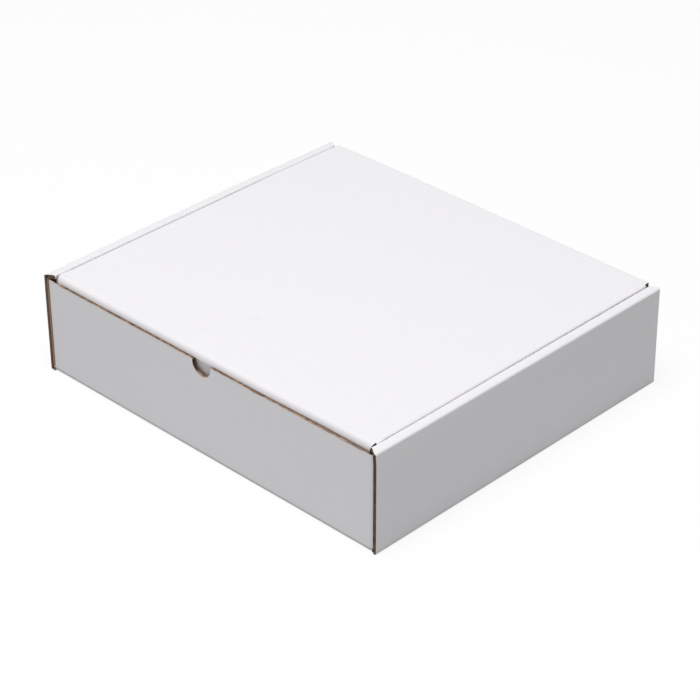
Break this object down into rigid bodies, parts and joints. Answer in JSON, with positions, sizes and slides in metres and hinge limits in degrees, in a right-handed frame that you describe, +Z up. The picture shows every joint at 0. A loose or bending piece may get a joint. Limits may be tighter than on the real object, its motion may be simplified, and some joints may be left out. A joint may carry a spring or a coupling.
{
  "type": "mailer box",
  "caption": "Flat folded corrugated mailer box with rolled side walls and a hinged lid that tucks behind the notched front wall.",
  "frame": {"origin": "middle of the underside of the base", "axes": "+X to the right along the hinge fold, +Y from the front wall to the rear wall, +Z up"},
  "size_m": [0.34, 0.302, 0.0833],
  "materials": {
    "white_board": "matte white liner with brown raw edges"
  },
  "bodies": {
    "tray": {"tray": "white_board"},
    "lid": {"lid": "white_board"}
  },
  "joints": [
    {"name": "lid_hinge", "type": "hinge", "parent": "tray", "child": "lid", "pos_m": [0, 0.151, 0.0833], "axis": [-1, 0, 0], "range_deg": [0, 180]}
  ]
}
